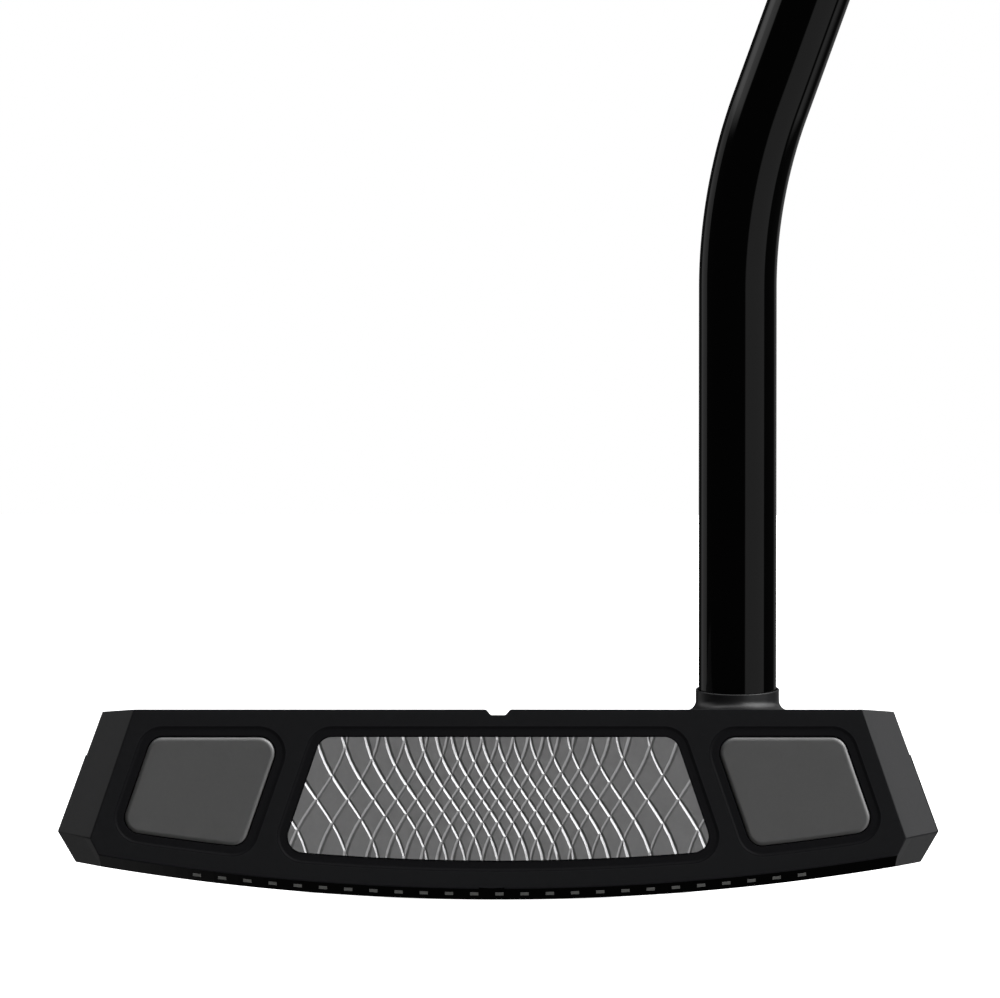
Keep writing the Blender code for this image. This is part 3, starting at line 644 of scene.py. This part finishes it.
def insert_shape():
    """The insert: the grooved face with plain sides behind it."""
    shape = bmesh.new()
    add_grooved_face(shape)
    clip_to_insert(shape)
    rim = [edge for edge in shape.edges if edge.is_boundary]
    skirt = bmesh.ops.extrude_edge_only(shape, edges=rim)["geom"]
    for vert in (part for part in skirt if isinstance(part, bmesh.types.BMVert)):
        vert.co.y = FACE_Y + PANEL_THICKNESS + vert.co.z * math.tan(LOFT)
    bmesh.ops.recalc_face_normals(shape, faces=shape.faces)
    return shape


def weight_shape(sides):
    """A weight with a rounded front edge."""
    layers = []
    for step in range(WEIGHT_EDGE_STEPS + 1):
        turn = math.pi / 2 * step / WEIGHT_EDGE_STEPS
        layers.append((WEIGHT_EDGE_DEPTH * (1 - math.cos(turn)), -WEIGHT_EDGE * (1 - math.sin(turn))))
    layers.append((PANEL_THICKNESS, 0.0))
    return loft([[behind_face(y, x, z) for x, z in panel_outline(sides, grow)] for y, grow in layers])


# The shaft


def shaft_stations(low, high):
    """(middle, direction, radius) up the tube, which bends from the low direction to the high one."""
    foot = hosel_place().translation
    angle = low.angle(high)
    inward = (high - low * math.cos(angle)) / math.sin(angle)
    start = foot + low * BEND_START
    stations = [(foot + low * SHAFT_FOOT, low, SHAFT_RADIUS)]
    for step in range(BEND_STEPS + 1):
        turn = angle * step / BEND_STEPS
        offset = low * math.sin(turn) + inward * (1 - math.cos(turn))
        direction = low * math.cos(turn) + inward * math.sin(turn)
        stations.append((start + offset * BEND_RADIUS, direction, SHAFT_RADIUS))
    bend_end = stations[-1][0]
    for step in range(TAPER_STEPS + 1):
        share = step / TAPER_STEPS
        radius = SHAFT_RADIUS + (SHAFT_BUTT_RADIUS - SHAFT_RADIUS) * share
        stations.append((bend_end + high * (TAPER_START + TAPER_LENGTH * share), high, radius))
    cap_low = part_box("grip_butt_cap")[0].z
    butt = bend_end + high * (cap_low - bend_end.z) / high.z
    stations.append((butt, high, SHAFT_BUTT_RADIUS))
    return stations


def shaft_shape():
    """The tube's skin, outside and inside."""
    low = (hosel_place().to_3x3() @ Vector((0, 0, 1))).normalized()
    high = Vector((math.cos(LIE), 0, math.sin(LIE)))
    across = low.cross(high).normalized()
    outer = []
    inner = []
    for point, direction, radius in shaft_stations(low, high):
        axes = Matrix((across, direction.cross(across), direction)).transposed().to_4x4()
        place = Matrix.Translation(point) @ axes
        outer.append(circle(radius, 0.0, place))
        inner.append(circle(radius - SHAFT_WALL, 0.0, place))
    return loft(outer + inner[::-1], closed=True)


# The seams


def seam_shape(name, outward):
    """A thin slice that fills the gap at a CAD node's flat end and leaves a shallow groove around it."""
    node = frame["nodes"][name]
    shape = bmesh.new()
    shape.from_mesh(node.data)
    shape.transform(node.matrix_world)
    bmesh.ops.remove_doubles(shape, verts=shape.verts, dist=MERGE_DISTANCE)
    end = max(vert.co.dot(outward) for vert in shape.verts)
    others = [face for face in shape.faces if face.calc_center_median().dot(outward) < end - SEAM_GAP / 2]
    bmesh.ops.delete(shape, geom=others, context="FACES")
    rim = bmesh.ops.inset_region(
        shape,
        faces=shape.faces[:],
        thickness=SEAM_GROOVE,
        use_boundary=True,
        use_even_offset=True,
    )["faces"]
    bmesh.ops.delete(shape, geom=rim, context="FACES")
    far_side = bmesh.ops.extrude_face_region(shape, geom=shape.faces[:])["geom"]
    for vert in (part for part in far_side if isinstance(part, bmesh.types.BMVert)):
        vert.co += outward * SEAM_GAP
    bmesh.ops.recalc_face_normals(shape, faces=shape.faces)
    return shape


def make_seams(materials):
    """Seams in front of the rear body and of its bar, and under the grip's cap."""
    forward = Vector((0, -1, 0))
    down_the_grip = -Vector((math.cos(LIE), 0, math.sin(LIE)))
    for name, node, outward, finish in (
        ("body_seam", "rear_body", forward, "front_block"),
        ("bar_seam", "alignment_bar", forward, "front_block"),
        ("cap_seam", "grip_butt_cap", down_the_grip, "grip_cap"),
    ):
        make_piece(name, seam_shape(node, outward), materials[finish])


# The light, the floor and the camera


def smooth_step(nodes, links, value, start, end):
    """0 before the start and 1 after the end; the end may be the lower one."""
    step = nodes.new("ShaderNodeMapRange")
    step.interpolation_type = "SMOOTHSTEP"
    step.inputs["From Min"].default_value = start
    step.inputs["From Max"].default_value = end
    links.new(value, step.inputs["Value"])
    return step.outputs["Result"]


def calculate(nodes, links, operation, *values):
    """A math node on these values, which are numbers or other nodes' outputs."""
    result = nodes.new("ShaderNodeMath")
    result.operation = operation
    for socket, value in zip(result.inputs, values):
        if isinstance(value, (int, float)):
            socket.default_value = value
        else:
            links.new(value, socket)
    return result.outputs["Value"]


def build_world():
    """White to the camera; to everything else, soft-edged panels of light in a dark studio."""
    world = bpy.data.worlds.new("studio")
    bpy.context.scene.world = world
    world.use_nodes = True
    nodes = world.node_tree.nodes
    links = world.node_tree.links
    nodes.clear()
    place = nodes.new("ShaderNodeTexCoord")
    parts = nodes.new("ShaderNodeSeparateXYZ")
    links.new(place.outputs["Generated"], parts.inputs["Vector"])
    front = calculate(nodes, links, "MULTIPLY", parts.outputs["Y"], -1.0)
    azimuth = calculate(nodes, links, "ARCTAN2", parts.outputs["X"], front)
    elevation = calculate(nodes, links, "ARCSINE", parts.outputs["Z"])
    total = AMBIENT
    for azimuths, elevations, soft, strength in LIGHT_PANELS:
        panel = strength
        for angle, (low, high) in ((azimuth, azimuths), (elevation, elevations)):
            for start, end in ((low - soft, low), (high + soft, high)):
                edge = smooth_step(nodes, links, angle, math.radians(start), math.radians(end))
                panel = calculate(nodes, links, "MULTIPLY", edge, panel)
        total = calculate(nodes, links, "ADD", total, panel)
    lit = nodes.new("ShaderNodeBackground")
    lit.inputs["Color"].default_value = (1, 1, 1, 1)
    links.new(total, lit.inputs["Strength"])
    white = nodes.new("ShaderNodeBackground")
    white.inputs["Color"].default_value = (1, 1, 1, 1)
    path = nodes.new("ShaderNodeLightPath")
    mix = nodes.new("ShaderNodeMixShader")
    links.new(path.outputs["Is Camera Ray"], mix.inputs["Fac"])
    links.new(lit.outputs["Background"], mix.inputs[1])
    links.new(white.outputs["Background"], mix.inputs[2])
    output = nodes.new("ShaderNodeOutputWorld")
    links.new(mix.outputs["Shader"], output.inputs["Surface"])


def build_floor():
    """A pale floor that only the camera sees, so that it doesn't light the head from below."""
    shape = bmesh.new()
    bmesh.ops.create_grid(shape, x_segments=1, y_segments=1, size=FLOOR_HALF)
    mesh = bpy.data.meshes.new("floor")
    shape.to_mesh(mesh)
    shape.free()
    floor = bpy.data.objects.new("floor", mesh)
    bpy.context.scene.collection.objects.link(floor)
    floor.location.z = -FLOOR_DROP
    floor.visible_diffuse = False
    floor.visible_glossy = False
    floor.visible_shadow = False
    material, nodes, links, shader = new_material("pale_floor")
    shader.inputs["Base Color"].default_value = (0.9, 0.9, 0.9, 1)
    shader.inputs["Roughness"].default_value = 0.9
    shader.inputs["Specular IOR Level"].default_value = 0.0
    shader.inputs["Emission Color"].default_value = (1, 1, 1, 1)
    shader.inputs["Emission Strength"].default_value = 1.0
    mesh.materials.append(material)


def build_camera():
    """A far camera with a long lens, level with the head."""
    data = bpy.data.cameras.new("camera")
    data.sensor_width = SENSOR_WIDTH
    data.lens = SENSOR_WIDTH * CAMERA_DISTANCE / FRAME_WIDTH
    data.clip_end = CAMERA_REACH
    camera = bpy.data.objects.new("camera", data)
    bpy.context.scene.collection.objects.link(camera)
    camera.location = (CAMERA_X, FACE_Y - CAMERA_DISTANCE, CAMERA_Z)
    camera.rotation_euler = (math.pi / 2, 0, 0)
    bpy.context.scene.camera = camera


# The putter's finishes


def satin_black_paint():
    """The front block."""
    return surface("satin_black_paint", BLACK, 0.42)


def satin_black_anodised():
    """The rear body and its bar."""
    return surface("satin_black_anodised", BLACK, 0.46)


def milled_aluminium():
    """The insert."""
    return surface("milled_aluminium", (0.62, 0.62, 0.625), 0.46, 1.0)


def painted_shade_recess():
    """The pockets: a black that reflects far less than the block's paint, so they read darker; painted
    shade in the recess.
    """
    return surface("painted_shade_recess", (0.0122, 0.0122, 0.0135), 0.42, specular=0.06)


def satin_black_collar():
    """The collar."""
    return surface("satin_black_collar", (0.016, 0.016, 0.017), 0.36, specular=0.7)


def polished_black_strip():
    """The strip above the sole."""
    return surface("polished_black_strip", (0.0008, 0.0008, 0.0008), 0.12, grain=2000, depth=0.0)


def blasted_tungsten():
    """The weights."""
    return surface("blasted_tungsten", (0.285, 0.285, 0.285), 0.50, 1.0)


def gloss_black_shaft():
    """The shaft."""
    return surface("gloss_black_shaft", (0.0003, 0.0003, 0.0003), 0.07, grain=600, depth=0.0)


def gloss_black_plate():
    """The sole plate."""
    return surface("gloss_black_plate", (0.004, 0.004, 0.0045), 0.16, grain=3000, depth=0.0)


def black_oxide_steel():
    """The screws."""
    return surface("black_oxide_steel", (0.10, 0.10, 0.105), 0.35, 1.0)


def pale_grey_paint():
    """The dashes on the strip."""
    return surface("pale_grey_paint", (0.26, 0.26, 0.25), 0.5)


def white_acrylic():
    """The sight line."""
    return surface("white_acrylic", (0.78, 0.78, 0.76), 0.35)


def elastomer():
    """The damper in the body's cavity."""
    return surface("elastomer", (0.03, 0.03, 0.032), 0.8)


def bonding_film():
    """The pads and the grip's tape."""
    return surface("bonding_film", (0.55, 0.52, 0.45), 0.6)


def foam_core():
    """The grip's core."""
    return surface("foam_core", (0.10, 0.10, 0.10), 0.9, grain=3000, depth=0.05 * MM)


def pebbled_rubber():
    """The grip's skin: rubber with a pebbled grain, its colour darker in the creases between the pebbles as
    painted shade, and worn a little smoother in broad patches.
    """
    material, nodes, links, shader = new_material("pebbled_rubber")
    place = nodes.new("ShaderNodeTexCoord")
    pebbles = nodes.new("ShaderNodeTexVoronoi")
    pebbles.inputs["Scale"].default_value = PEBBLE_SCALE
    links.new(place.outputs["Object"], pebbles.inputs["Vector"])
    height = calculate(nodes, links, "SUBTRACT", 1.0, pebbles.outputs["Distance"])
    # Painted shade: the colour is darker in the creases between the pebbles and lighter on their tops.
    vary_colour(nodes, links, shader, height, (0.020, 0.020, 0.021), 0.5)
    worn = spread(nodes, links, noise(nodes, links, WORN_SCALE), 0.45, 0.65)
    links.new(worn, shader.inputs["Roughness"])
    add_bump(nodes, links, shader, height, PEBBLE_DEPTH)
    return material


def grip_cap_plastic():
    """The grip's cap."""
    return surface("grip_cap_plastic", (0.012, 0.012, 0.012), 0.4)


def build_materials():
    """Every finish by the name of its material slot, or of the part of the block that wears it."""
    return {
        "front_block": satin_black_paint(),
        "rear_body": satin_black_anodised(),
        "face_insert": milled_aluminium(),
        "recess": painted_shade_recess(),
        "collar": satin_black_collar(),
        "strip": polished_black_strip(),
        "face_weight": blasted_tungsten(),
        "shaft": gloss_black_shaft(),
        "sole_plate": gloss_black_plate(),
        "screw": black_oxide_steel(),
        "dashes": pale_grey_paint(),
        "sight_line": white_acrylic(),
        "damper": elastomer(),
        "bonding_pad": bonding_film(),
        "grip_core": foam_core(),
        "grip_skin": pebbled_rubber(),
        "grip_cap": grip_cap_plastic(),
    }


# The CAD nodes


def smooth_by_angle():
    """A geometry node group that shades smooth, except over edges sharper than its limit."""
    group = bpy.data.node_groups.new("smooth_by_angle", "GeometryNodeTree")
    group.interface.new_socket("Geometry", in_out="INPUT", socket_type="NodeSocketGeometry")
    group.interface.new_socket("Geometry", in_out="OUTPUT", socket_type="NodeSocketGeometry")
    nodes = group.nodes
    links = group.links
    source = nodes.new("NodeGroupInput")
    target = nodes.new("NodeGroupOutput")
    faces = nodes.new("GeometryNodeSetShadeSmooth")
    edges = nodes.new("GeometryNodeSetShadeSmooth")
    edges.domain = "EDGE"
    edges.inputs["Shade Smooth"].default_value = False
    angle = nodes.new("GeometryNodeInputMeshEdgeAngle")
    limit = nodes.new("ShaderNodeMath")
    limit.operation = "GREATER_THAN"
    limit.inputs[1].default_value = SMOOTH_TURN
    links.new(source.outputs[0], faces.inputs["Geometry"])
    links.new(faces.outputs["Geometry"], edges.inputs["Geometry"])
    links.new(angle.outputs["Unsigned Angle"], limit.inputs[0])
    links.new(limit.outputs["Value"], edges.inputs["Selection"])
    links.new(edges.outputs["Geometry"], target.inputs[0])
    return group


def dress_cad_nodes(materials):
    """Materials, softened edges and smooth shading for the CAD nodes that stay as they are."""
    slots = {row["node"]: row["material_slot"] for row in frame["record"]["subparts"]}
    group = smooth_by_angle()
    for name, node in frame["nodes"].items():
        node.data.materials.clear()
        node.data.materials.append(materials[slots[name]])
        weld = node.modifiers.new("weld", "WELD")
        weld.merge_threshold = MERGE_DISTANCE
        if name in SOFT_EDGES:
            flat = node.modifiers.new("flat", "DECIMATE")
            flat.decimate_type = "DISSOLVE"
            flat.angle_limit = FLAT_TURN
            bevel = node.modifiers.new("soft_edges", "BEVEL")
            bevel.width = SOFT_EDGES[name]
            bevel.segments = BEVEL_SEGMENTS
            bevel.limit_method = "ANGLE"
            bevel.angle_limit = BEVEL_TURN
        node.modifiers.new("smooth", "NODES").node_group = group


def build():
    """The camera, the studio, the finishes and every piece."""
    build_camera()
    build_world()
    build_floor()
    bpy.context.scene.view_settings.view_transform = "Standard"
    materials = build_materials()
    dress_cad_nodes(materials)
    make_front_block(materials)
    make_piece("strip_dashes", dashes_shape(), materials["dashes"])
    make_piece("milled_insert", insert_shape(), materials["face_insert"], "face_insert",
               slot="face_insert", crease=GROOVE_CREASE)
    for name, sides in (("toe", TOE_SIDES), ("heel", HEEL_SIDES)):
        make_piece(f"{name}_weight_face", weight_shape(sides), materials["face_weight"],
                   f"{name}_tungsten_weight", slot="face_weight")
    make_piece("bent_shaft", shaft_shape(), materials["shaft"], "shaft", slot="shaft")
    make_seams(materials)


build()
